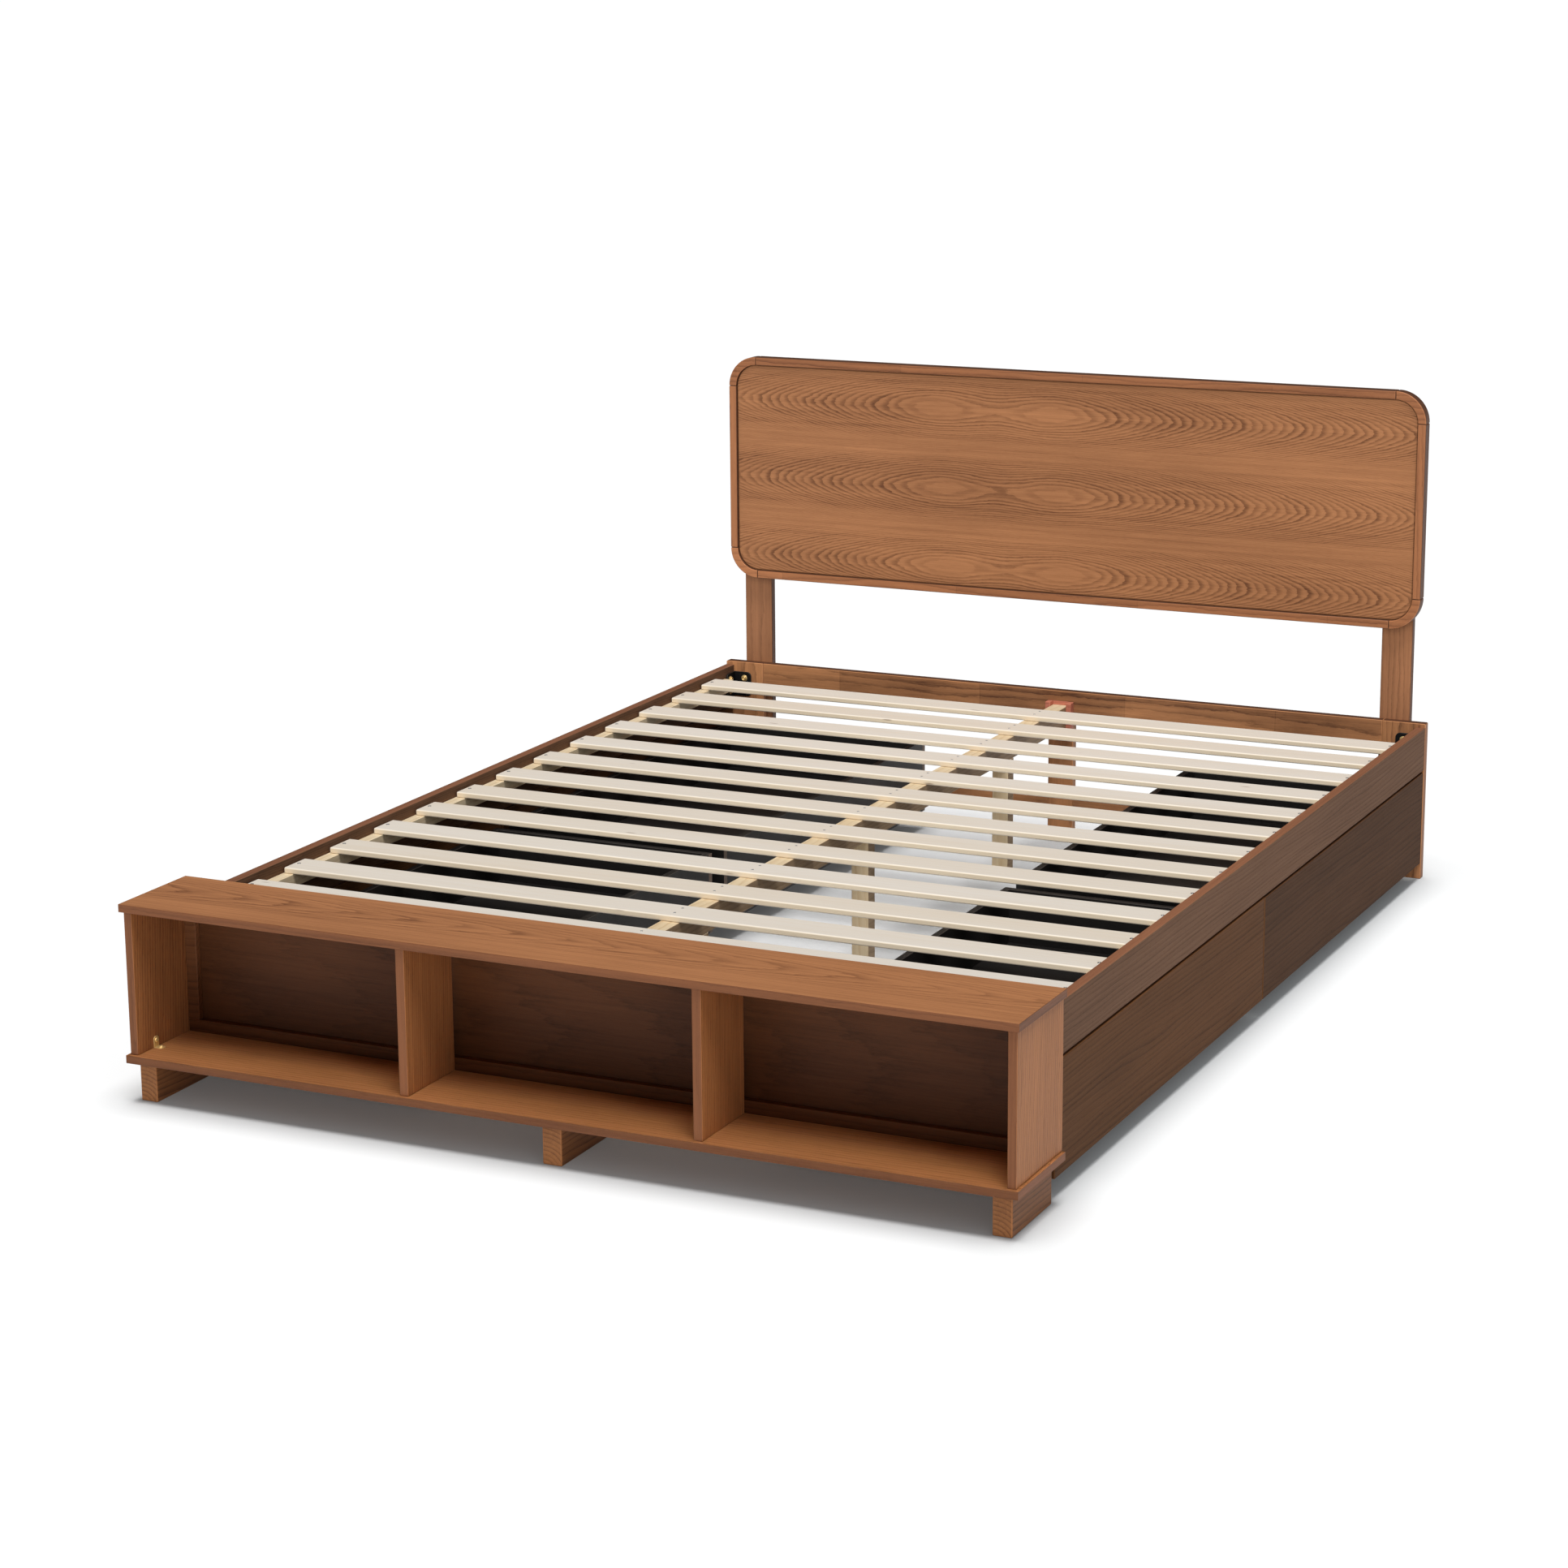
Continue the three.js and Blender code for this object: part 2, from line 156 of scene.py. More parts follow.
def tree_rings(g, along, across, through, tone, cut):
    """Counts growth rings from the pith of the log that the board or its veneer was cut from.

    cut: width of a ring, depth of the pith under the face, centre of the pith across the board,
    taper of the log, band for leaves of veneer laid side by side, slip between those leaves, eyes
    where the log swells and its rings close, heart for the rings between which those eyes turn from
    plain to figured, and fold for like blocks that far apart.
    """
    slow = g.noise(g.combine(g.math("MULTIPLY", along, 1.4), g.math("MULTIPLY", across, 9.0),
                             g.math("MULTIPLY", tone, 9.0)), detail=2)
    ripple = g.noise(g.combine(g.math("MULTIPLY", along, 14.0), g.math("MULTIPLY", across, 70.0),
                               g.math("MULTIPLY", tone, 5.0)), detail=4, roughness=0.65)
    offset = g.math("SUBTRACT", across, cut.get("centre", 0.0))
    if "band" in cut:
        leaf = g.math("FLOOR", g.math("DIVIDE", offset, cut["band"]))
        offset = g.math("SUBTRACT", g.math("FLOORED_MODULO", offset, cut["band"]), cut["band"] / 2)
        along = g.math("MULTIPLY_ADD", leaf, cut.get("slip", 0.0), along)
        depth = cut["depth"]
    else:
        if "fold" in cut:
            half = cut["fold"] / 2
            through = g.math("FLOORED_MODULO", g.math("ADD", through, half), cut["fold"])
            through = g.math("SUBTRACT", through, half)
        depth = g.math("ADD", through, cut["depth"])
    offset = g.math("MULTIPLY_ADD", g.math("SUBTRACT", slow, 0.5), cut.get("bend", 0.03), offset)
    offset_squared = g.math("MULTIPLY", offset, offset)
    depth_squared = g.math("MULTIPLY", depth, depth)
    radius = g.math("SQRT", g.math("ADD", offset_squared, depth_squared))
    rise = g.math("MULTIPLY", along, cut["taper"])
    if "eyes" in cut:
        away = [g.math("ABSOLUTE", g.math("SUBTRACT", along, eye)) for eye in cut["eyes"]]
        away = g.math("SMOOTH_MIN", away[0], away[1], EYE_BLEND)
        blunt = g.math("SQRT", g.math("MULTIPLY_ADD", away, away, EYE_BLUNTNESS))
        rise = g.math("MULTIPLY", blunt, cut["taper"])
    rings = g.math("DIVIDE", g.math("ADD", radius, rise), cut["width"])
    rings = g.math("MULTIPLY_ADD", g.math("SUBTRACT", slow, 0.5), cut.get("wander", 2.0), rings)
    rings = g.math("MULTIPLY_ADD", g.math("SUBTRACT", ripple, 0.5), cut.get("ripple", 1.1), rings)
    return rings, g.math("ABSOLUTE", offset)


def wood(name, grain, light, dark, cut, edge=None, ring_depth=0.55, pore_depth=0.3, blotch_depth=0.3,
         fibre_depth=0.25, streak_depth=0.25, fade=None, segment=None, broad=False, rough=(0.42, 0.6),
         relief=0.25, gloss=0.2):
    """Open-pored stained wood: rings with dark early wood, pore dashes, fibres, streaks and blotches."""
    g = Graph(name)
    along, across, through = g.grain_space(grain)
    tone = g.attribute("tone")
    along = g.math("MULTIPLY_ADD", tone, 0.0 if "eyes" in cut else 3.7, along)
    rings, offset = tree_rings(g, along, across, through, tone, cut)
    phase = g.math("FRACT", rings)
    if broad:
        early = g.math("MULTIPLY", g.remap(phase, 0.75, 0.15), g.remap(phase, 0.0, 0.06))
    else:
        early = g.math("POWER", g.math("SUBTRACT", 1.0, phase), 3.0)
        early = g.math("MULTIPLY", early, g.remap(phase, 0.0, 0.09))
    ring_kind = g.random_step(rings)
    early = g.math("MULTIPLY", early, g.remap(ring_kind, 0.0, 1.0, 0.55, 1.0))
    if "heart" in cut:
        early = g.math("MULTIPLY", early, g.remap(rings, *cut["heart"], 0.15, 1.0))
    if fade:
        early = g.math("MULTIPLY", early, g.remap(offset, fade[0], fade[1], 1.0, fade[2]))

    def stretched(along_scale, cross_scale, **settings):
        place = g.combine(g.math("MULTIPLY", along, along_scale), g.math("MULTIPLY", across, cross_scale),
                          g.math("MULTIPLY", through, cross_scale))
        return g.noise(place, **settings)

    fibre = stretched(9.0, 420.0, detail=4, roughness=0.65)
    streak = stretched(1.2, 130.0, detail=4, roughness=0.6)
    blotch = stretched(2.0, 7.0, detail=3)
    pores = g.remap(stretched(75.0, 1500.0, detail=1), 0.55, 0.7)
    pores = g.math("MULTIPLY", pores, g.math("MULTIPLY_ADD", early, 0.65, 0.35))

    value = g.math("MULTIPLY", early, ring_depth)
    for layer, depth in ((fibre, fibre_depth), (streak, streak_depth), (blotch, blotch_depth), (tone, 0.1)):
        value = g.math("MULTIPLY_ADD", g.math("SUBTRACT", layer, 0.5), depth * 2, value)
    value = g.math("MULTIPLY_ADD", pores, pore_depth, value)
    if segment:
        block = g.math("DIVIDE", along, segment)
        pick = g.random_step(block)
        value = g.math("MULTIPLY_ADD", g.math("SUBTRACT", pick, 0.5), 0.3, value)
        joint = g.remap(g.math("FRACT", block), 0.0, 0.0012 / segment, 0.35, 0.0, smooth=False)
        value = g.math("ADD", value, joint)
    value = g.math("ADD", value, 0.25, clamp=True)
    colour = g.mix(value, light, dark)
    worn = g.math("MULTIPLY", g.attribute("edge"), g.remap(blotch, 0.35, 0.65, 0.3, 0.75))
    colour = g.mix(worn, colour, edge or tuple(c * 1.2 for c in light))
    g.plug(g.shader.inputs["Base Color"], colour)
    roughness = g.math("MULTIPLY_ADD", fibre, rough[1] - rough[0], rough[0])
    g.plug(g.shader.inputs["Roughness"], g.math("MULTIPLY_ADD", pores, 0.12, roughness))
    height = g.math("MULTIPLY_ADD", pores, -0.6, g.math("MULTIPLY_ADD", early, -0.4, fibre))
    g.plug(g.shader.inputs["Normal"], g.bump(height, relief, 0.0004))
    g.shader.inputs["Specular IOR Level"].default_value = gloss
    return g.material


def slat_wood(name, top, side):
    """Sanded poplar: pale faces, yellower sawn edges, a few specks and small knots."""
    g = Graph(name)
    along, across, through = g.grain_space("x")
    tone = g.attribute("tone")
    along = g.math("MULTIPLY_ADD", tone, 5.3, along)
    coarse = g.combine(g.math("MULTIPLY", along, 1.1), g.math("MULTIPLY", across, 16.0), tone)
    drift = g.noise(coarse, detail=3)
    fine = g.combine(g.math("MULTIPLY", along, 5.0), g.math("MULTIPLY", across, 300.0),
                     g.math("MULTIPLY", through, 500.0))
    fibre = g.noise(fine, detail=4, roughness=0.6)
    rings = g.math("MULTIPLY_ADD", drift, 6.0, g.math("MULTIPLY", across, 45.0))
    rings = g.math("POWER", g.math("FRACT", rings), 3.0)
    normal = g.node("ShaderNodeNewGeometry").outputs["Normal"]
    upward = g.math("ABSOLUTE", g.node("ShaderNodeSeparateXYZ", {"Vector": normal}).outputs["Z"])
    face = g.mix(g.remap(upward, 0.55, 0.9), side, top)
    shade = g.math("MULTIPLY_ADD", g.math("SUBTRACT", fibre, 0.5), 0.22, g.math("MULTIPLY", rings, 0.10))
    shade = g.math("MULTIPLY_ADD", g.math("SUBTRACT", drift, 0.5), 0.35, shade)
    shade = g.math("MULTIPLY_ADD", g.math("SUBTRACT", tone, 0.5), 0.2, shade)
    shade = g.math("ADD", shade, 0.15, clamp=True)
    colour = g.mix(shade, face, tuple(c * f for c, f in zip(side, (0.82, 0.74, 0.62))))
    places = g.combine(g.math("MULTIPLY", along, 4.0), g.math("MULTIPLY", across, 22.0),
                       g.math("MULTIPLY", through, 22.0))
    spot = g.node("ShaderNodeTexVoronoi", {"Vector": places, "Scale": 1.0})
    speck = g.remap(spot.outputs["Distance"], 0.06, 0.02)
    colour = g.mix(g.math("MULTIPLY", speck, 0.65), colour, srgb(120, 88, 62))
    colour = g.mix(g.math("MULTIPLY", g.attribute("edge"), 0.5), colour, srgb(246, 238, 224))
    g.plug(g.shader.inputs["Base Color"], colour)
    g.plug(g.shader.inputs["Roughness"], g.math("MULTIPLY_ADD", fibre, 0.2, 0.55))
    g.plug(g.shader.inputs["Normal"], g.bump(fibre, 0.2, 0.0004))
    g.shader.inputs["Specular IOR Level"].default_value = 0.3
    return g.material


def lining(name, colour, rim):
    """Matte laminated board: faint woven-looking mottle, scuffed towards its cut edges."""
    g = Graph(name)
    place = g.node("ShaderNodeTexCoord").outputs["Object"]
    cloud = g.noise(place, scale=14, detail=4)
    grit = g.noise(place, scale=900, detail=2)
    speckle = g.math("MULTIPLY", grit, 0.35)
    value = g.math("MULTIPLY_ADD", g.math("SUBTRACT", cloud, 0.5), 0.5, speckle, clamp=True)
    shade = g.mix(value, colour, tuple(c * 1.8 + 0.002 for c in colour))
    g.plug(g.shader.inputs["Base Color"], g.mix(g.math("MULTIPLY", g.attribute("edge"), 0.7), shade, rim))
    g.plug(g.shader.inputs["Roughness"], g.math("MULTIPLY_ADD", grit, 0.25, 0.45))
    g.plug(g.shader.inputs["Normal"], g.bump(grit, 0.15, 0.0003))
    return g.material


def metal(name, colour, roughness, metallic=1.0, rim=None):
    """Steel or brass with fine scratches, and bare metal where its edges are rubbed."""
    g = Graph(name)
    place = g.node("ShaderNodeTexCoord").outputs["Object"]
    cloud = g.noise(place, scale=60, detail=3)
    grit = g.noise(place, scale=1500, detail=2)
    shade = g.mix(cloud, tuple(c * 0.8 for c in colour), colour)
    worn = g.math("MULTIPLY", g.attribute("edge"), 0.6)
    bare = rim or tuple(c * 1.3 for c in colour)
    g.plug(g.shader.inputs["Base Color"], g.mix(worn, shade, bare))
    g.plug(g.shader.inputs["Roughness"], g.math("MULTIPLY_ADD", cloud, 0.2, roughness))
    g.plug(g.shader.inputs["Normal"], g.bump(grit, 0.12, 0.0002))
    g.shader.inputs["Metallic"].default_value = metallic
    return g.material


WALNUT_LIGHT = srgb(178, 118, 72)
WALNUT_DARK = srgb(98, 56, 30)
BAND_LIGHT = srgb(128, 80, 50)
BAND_DARK = srgb(72, 42, 26)
RAIL_LIGHT = srgb(119, 88, 67)
RAIL_DARK = srgb(66, 46, 35)
DRAWER_LIGHT = srgb(108, 72, 44)
DRAWER_DARK = srgb(56, 36, 22)
# The rear drawer fronts use the same veneer as the front ones, darker: painted shade for the far end of the
# bed.
SHADED_REAR_LIGHT = srgb(92, 62, 40)
SHADED_REAR_DARK = srgb(48, 31, 20)
FRAME_LIGHT = srgb(176, 116, 76)
FRAME_DARK = srgb(100, 60, 38)
HEAD_LIGHT = srgb(196, 136, 90)
HEAD_DARK = srgb(82, 50, 32)
PINE_LIGHT = srgb(234, 216, 184)
PINE_DARK = srgb(200, 168, 122)

FLAT_SAWN = {"width": 0.006, "depth": 0.05, "taper": 0.06, "centre": 0.0}
STRAIGHT = {"width": 0.008, "depth": 0.35, "taper": 0.004, "centre": -0.3, "wander": 3.0}
FINE = {"width": 0.0035, "depth": 0.35, "taper": 0.006, "centre": -0.3, "wander": 2.0, "ripple": 0.4}
END_GRAIN = {"width": 0.0075, "depth": 0.014, "taper": 0.02, "centre": -0.012, "bend": 0.004,
             "wander": 0.6, "ripple": 0.5, "fold": 0.778}
LEAVES = {"width": 0.0031, "depth": 0.05, "taper": 0.15, "centre": 0.493, "band": 0.168,
          "slip": 0.012, "eyes": (-0.255, -0.005), "bend": 0.012, "wander": 1.2, "ripple": 1.3,
          "heart": (21.3, 23.6)}


def walnut(name, grain, cut, light=WALNUT_LIGHT, dark=WALNUT_DARK, **settings):
    return wood(name, grain, light, dark, cut, edge=srgb(150, 98, 62), **settings)


def band(name, grain):
    return wood(name, grain, BAND_LIGHT, BAND_DARK, STRAIGHT, ring_depth=0.3, edge=srgb(112, 68, 42))


def dull_veneer(name, light, dark):
    """The long sides' veneer: fine, even and nearly matt."""
    return wood(name, "y", light, dark, FINE, ring_depth=0.5, pore_depth=0.4, blotch_depth=0.25,
                rough=(0.55, 0.7), relief=0.15, gloss=0.05)


TOP_LEAVES = {**FLAT_SAWN, "band": 0.17, "centre": CAD_BOX[0].y + 0.03, "slip": 0.35}
MATERIALS = {
    "top": walnut("walnut_top_board", "x", TOP_LEAVES, srgb(188, 128, 84), srgb(104, 62, 38),
                  fade=(0.03, 0.07, 0.4), ring_depth=0.6, streak_depth=0.4),
    "board": walnut("walnut_board", "x", STRAIGHT, ring_depth=0.45),
    "upright": walnut("walnut_upright", "Z", {**FLAT_SAWN, "centre": -0.04, "wander": 4.0},
                      srgb(180, 118, 70), srgb(88, 48, 26), ring_depth=0.6),
    # The back panel's walnut is much darker than the rest: painted shade for the deep compartments.
    "back": walnut("walnut_back_painted_shade", "X", {**FLAT_SAWN, "centre": 0.16, "width": 0.012}, srgb(102, 61, 33),
                   srgb(48, 26, 12), ring_depth=0.3),
    "panel": wood("headboard_veneer", "X", srgb(181, 124, 82), srgb(92, 54, 32), LEAVES, broad=True,
                  fade=(0.045, 0.075, 0.25), ring_depth=0.52, streak_depth=0.3),
    "edging_x": wood("edging_along", "x", FRAME_LIGHT, FRAME_DARK, STRAIGHT, segment=0.41),
    "edging_z": wood("edging_upright", "z", FRAME_LIGHT, FRAME_DARK, STRAIGHT),
    # A darker copy of the head wood for the side, top and bottom faces of the headboard frame, posts, head
    # legs and head rails: painted shade.
    "frame_rim": wood("headboard_frame_rim", "x", srgb(102, 66, 46), srgb(60, 36, 24), STRAIGHT),
    "post": wood("headboard_post", "z", srgb(168, 115, 79), srgb(95, 62, 41), STRAIGHT),
    "inner_frame": wood("shelf_back_frame", "x", srgb(120, 76, 46), srgb(60, 34, 20), STRAIGHT),
    "foot": wood("walnut_foot", "y", srgb(150, 98, 58), srgb(76, 45, 25), END_GRAIN, ring_depth=0.7),
    "band_x": band("walnut_band_x", "x"),
    "band_y": band("walnut_band_y", "y"),
    "band_z": band("walnut_band_z", "z"),
    "rail": dull_veneer("rail_veneer", RAIL_LIGHT, RAIL_DARK),
    "rail_top": wood("rail_top_band", "y", srgb(150, 100, 72), srgb(92, 56, 38), STRAIGHT, ring_depth=0.3),
    "drawer": dull_veneer("drawer_veneer", DRAWER_LIGHT, DRAWER_DARK),
    # The darker rear copy of the drawer veneer is painted shade.
    "drawer_rear_shaded": dull_veneer("drawer_veneer_rear_shaded", SHADED_REAR_LIGHT, SHADED_REAR_DARK),
    "drawer_band": wood("drawer_band", "z", DRAWER_LIGHT, DRAWER_DARK, STRAIGHT, ring_depth=0.2, gloss=0.05),
    "head": wood("head_wood", "X", HEAD_LIGHT, HEAD_DARK, STRAIGHT, blotch_depth=1.1,
                 segment=0.33),
    "pocket": wood("beam_pocket_red", "x", srgb(200, 122, 98), srgb(142, 80, 62), STRAIGHT),
    "head_z": wood("head_wood_upright", "z", HEAD_LIGHT, HEAD_DARK, STRAIGHT, blotch_depth=1.1),
    "pine_y": wood("pine_along", "y", PINE_LIGHT, PINE_DARK, STRAIGHT, pore_depth=0.1),
    # A darker copy of the pine for the side faces of the centre beam and its legs: painted shade, not a
    # different wood.
    "pine_side": wood("pine_side", "y", srgb(170, 143, 112), srgb(118, 94, 68), STRAIGHT,
                      pore_depth=0.1),
    "pine_z": wood("pine_upright", "z", PINE_LIGHT, PINE_DARK, STRAIGHT, pore_depth=0.1),
    "slat": slat_wood("slat_poplar", srgb(226, 218, 207), srgb(232, 216, 190)),
    "lining": lining("black_lining", srgb(20, 16, 14), srgb(84, 76, 70)),
    "raw_edge": lining("raw_board_edge", srgb(96, 78, 64), srgb(110, 92, 78)),
    "black_steel": metal("black_steel", srgb(22, 22, 23), 0.4, 0.6, srgb(100, 98, 94)),
    "brass": metal("brass_plated", srgb(238, 204, 138), 0.28, 0.6),
    "steel": metal("zinc_steel", srgb(170, 170, 172), 0.3),
    "rubber": lining("caster_tread", srgb(36, 36, 38), srgb(60, 60, 62)),
}


# ---------------------------------------------------------------- meshes
PLANES = {"x": (1, 2), "y": (0, 2), "z": (0, 1)}


def new_mesh():
    bm = bmesh.new()
    bm.verts.layers.float.new("edge")
    bm.verts.layers.float.new("tone")
    return bm


def round_edges(bm, edges, width, segments=2):
    """Rounds edges, and marks the vertices that lie inside the rounding as edge."""
    if width <= 0 or not edges:
        return
    made = bmesh.ops.bevel(bm, geom=list(edges), offset=width, segments=segments,
                           profile=0.5, affect="EDGES", clamp_overlap=True)
    faces = set(made["faces"])
    layer = bm.verts.layers.float["edge"]
    for face in faces:
        face.smooth = True
        for vert in face.verts:
            if all(near in faces for near in vert.link_faces):
                vert[layer] = 1.0


def add_box(bm, low, high, width=1.5 * MM, segments=3):
    low, high = Vector(low), Vector(high)
    size = high - low
    matrix = Matrix.Translation((low + high) / 2) @ Matrix.Diagonal((*size, 1))
    verts = bmesh.ops.create_cube(bm, size=1, matrix=matrix)["verts"]
    round_edges(bm, {edge for vert in verts for edge in vert.link_edges}, width, segments)


def rounded_outline(low, high, radii, steps=8):
    """Points of a rectangle with rounded corners, from the low-low corner anticlockwise."""
    corners = ((low[0], low[1], 180), (high[0], low[1], 270), (high[0], high[1], 0), (low[0], high[1], 90))
    points = []
    for (x, y, start), radius in zip(corners, radii):
        cx = x + (radius if x == low[0] else -radius)
        cy = y + (radius if y == low[1] else -radius)
        for i in range(steps + 1 if radius else 1):
            turn = math.radians(start + 90 * i / steps)
            points.append((cx + radius * math.cos(turn), cy + radius * math.sin(turn)))
    return points


def add_plate(bm, outline, axis, low, high, width=1 * MM, segments=2, sharp=30):
    """An outline in the plane across axis, filled from low to high along it, with rounded rims."""
    u, v = PLANES[axis]
    w = 3 - u - v

    def point(place, level):
        at = [0.0, 0.0, 0.0]
        at[u], at[v], at[w] = place[0], place[1], level
        return bm.verts.new(at)

    lower = [point(place, low) for place in outline]
    upper = [point(place, high) for place in outline]
    caps = [bm.faces.new(lower), bm.faces.new(upper)]
    count = len(outline)
    sides = []
    for i in range(count):
        j = (i + 1) % count
        sides.append(bm.faces.new((lower[i], lower[j], upper[j], upper[i])))
    bmesh.ops.recalc_face_normals(bm, faces=caps + sides)
    rims = {edge for cap in caps for edge in cap.edges}
    corners = set()
    for i, side in enumerate(sides):
        turn = side.normal.angle(sides[i - 1].normal)
        if math.degrees(turn) > sharp:
            corners.update(set(side.edges) & set(sides[i - 1].edges))
    smooth = [side for i, side in enumerate(sides)
              if math.degrees(side.normal.angle(sides[i - 1].normal)) < sharp
              or math.degrees(side.normal.angle(sides[(i + 1) % count].normal)) < sharp]
    for side in smooth:
        side.smooth = True
    round_edges(bm, rims | corners, width, segments)


def add_lathe(bm, profile, axis, centre, steps=28):
    """A closed ring or disc from (distance along, radius) points, turned about an axis."""
    u, v = PLANES[axis]
    w = 3 - u - v
    rings = []
    for along, radius in profile:
        ring = []
        for i in range(steps if radius > 1e-7 else 1):
            turn = 2 * math.pi * i / steps
            at = list(centre)
            at[u] += radius * math.cos(turn)
            at[v] += radius * math.sin(turn)
            at[w] += along
            ring.append(bm.verts.new(at))
        rings.append(ring)
    for first, second in zip(rings, rings[1:]):
        for i in range(steps):
            j = (i + 1) % steps
            corners = [first[i % len(first)], first[j % len(first)]]
            corners += [second[j % len(second)], second[i % len(second)]]
            face = bm.faces.new(list(dict.fromkeys(corners)))
            face.smooth = True


def add_screw_head(bm, axis, centre, facing, radius=3.6 * MM, height=1.0 * MM):
    """A low domed head with a socket in the middle, standing out of a face."""
    sunk = -0.6 * MM
    socket = 0.3 * height
    profile = [(sunk, 0.0), (sunk, radius), (0.35 * height, radius), (0.8 * height, 0.85 * radius),
               (height, 0.6 * radius), (height, 0.42 * radius), (socket, 0.36 * radius), (socket, 0.0)]
    add_lathe(bm, [(facing * along, r) for along, r in profile], axis, centre, 16)


def add_bolt(bm, axis, centre, facing, radius=6.5 * MM):
    """A hexagon-socket bolt head on its washer."""
    washer = [(0.0, 0.0), (0.0, radius * 1.45), (1.2 * MM, radius * 1.4), (1.3 * MM, 0.0)]
    head = [(1.2 * MM, 0.0), (1.2 * MM, radius), (4.2 * MM, radius), (5.2 * MM, radius * 0.82),
            (5.2 * MM, radius * 0.5), (2.4 * MM, radius * 0.46), (2.4 * MM, 0.0)]
    for profile in (washer, head):
        add_lathe(bm, [(facing * along, r) for along, r in profile], axis, centre, 18)


def piece(name, bm, materials, body, stands_for=None, choose=None):
    """Turns a bmesh into a piece that rides on a body. choose gives a face's material index."""
    bmesh.ops.recalc_face_normals(bm, faces=bm.faces)
    tone = SEED.random()
    layer = bm.verts.layers.float["tone"]
    for vert in bm.verts:
        vert[layer] = tone
    if choose:
        for face in bm.faces:
            face.material_index = choose(face)
    mesh = bpy.data.meshes.new(name)
    bm.to_mesh(mesh)
    bm.free()
    for material in materials.split():
        mesh.materials.append(MATERIALS[material])
    made = bpy.data.objects.new(name, mesh)
    bpy.context.scene.collection.objects.link(made)
    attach(made, body)
    if stands_for:
        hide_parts(stands_for)
    return made


def facing(face):
    """Which axis a face looks along: 0, 1 or 2."""
    normal = [abs(value) for value in face.normal]
    return normal.index(max(normal))


def rimward(face):
    return 0 if facing(face) == 1 else 1


def board(node, materials, width=1.2 * MM, body=FRAME_BODY):
    """A CAD board again, with finely rounded edges. Three materials are for its X, Y and Z faces."""
    bm = new_mesh()
    add_box(bm, *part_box(node), width)
    choose = facing if len(materials.split()) == 3 else None
    return piece(f"{node}_fine", bm, materials, body, node, choose)


# ---------------------------------------------------------------- the bookcase
def build_bookcase():
    board("shelf_top_board", "band_y band_x top", 0.8 * MM)
    board("shelf_bottom_board", "band_y band_x board", 0.8 * MM)
    for side in SIDES:
        board(f"shelf_side_{side}", "upright band_z band_y")
        board(f"shelf_divider_{side}", "upright band_z band_y")
        board(f"front_foot_{side}", "foot", 2.5 * MM)
    board("front_foot_middle", "foot", 2.5 * MM)
    # The back panel takes the darkened walnut, which is painted shade.
    board("shelf_back_panel", "back", 0.5 * MM)

    low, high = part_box("shelf_back_frame")
    bar = 22 * MM
    bm = new_mesh()
    gap = 0.1 * MM
    add_box(bm, low, (high.x, high.y, low.z + bar), 1 * MM)
    add_box(bm, (low.x, low.y, high.z - bar), high, 1 * MM)
    for x0, x1 in ((low.x, low.x + bar), (high.x - bar, high.x)):
        add_box(bm, (x0, low.y, low.z + bar + gap), (x1, high.y, high.z - bar - gap), 1 * MM)
    node = "shelf_back_frame"
    piece(f"{node}_fine", bm, "inner_frame", FRAME_BODY, node)


# ---------------------------------------------------------------- rails, slats and beam
def build_slatted_base():
    for side in SIDES:
        board(f"side_rail_{side}", "rail drawer_band rail_top")
        board(f"slat_ledger_{side}", "pine_y", 1 * MM)
    # The beam's and its legs' X faces take the darker pine copy, which is painted shade.
    board("centre_beam", "pine_side pine_y pine_y")
    for i in (1, 2, 3):
        board(f"beam_leg_{i}", "pine_side pine_z pine_z")
    board("head_centre_leg", "head_z")
    for side in SIDES:
        board(f"head_lower_rail_{side}", "head head frame_rim")

    low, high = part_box("centre_beam_pocket")
    beam_low, beam_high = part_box("centre_beam")
    gap = 0.4 * MM
    outline = [(low.x, low.z), (high.x, low.z), (high.x, high.z), (beam_high.x + gap, high.z),
               (beam_high.x + gap, beam_low.z - gap), (beam_low.x - gap, beam_low.z - gap),
               (beam_low.x - gap, high.z), (low.x, high.z)]
    bm = new_mesh()
    add_plate(bm, outline, "y", low.y, high.y, 1 * MM)
    back = high.y - 2 * MM
    add_box(bm, (beam_low.x, back, beam_high.z + gap), (beam_high.x, high.y, high.z), 0.3 * MM)
    node = "centre_beam_pocket"
    piece(f"{node}_fine", bm, "pocket", FRAME_BODY, node)

    screws = new_mesh()
    end_inset, beside_beam, sunk = 10 * MM, 15 * MM, 0.4 * MM
    slats = sorted(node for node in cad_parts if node.startswith("slat_") and node[-1].isdigit())
    for node in slats:
        board(node, "slat", 2.5 * MM)
        low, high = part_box(node)
        middle = (low.y + high.y) / 2
        for x in (low.x + end_inset, 0.0, high.x - end_inset):
            for offset in (-beside_beam, beside_beam) if x == 0.0 else (0.0,):
                radius = 2.4 * MM if x == 0.0 else 3.6 * MM
                add_screw_head(screws, "z", (x, middle + offset, high.z - sunk), 1, radius)
    piece("slat_screws", screws, "steel", FRAME_BODY)


# ---------------------------------------------------------------- head end and headboard
POST_BOLT_HEIGHTS = (255 * MM, 295 * MM, 580 * MM, 860 * MM)


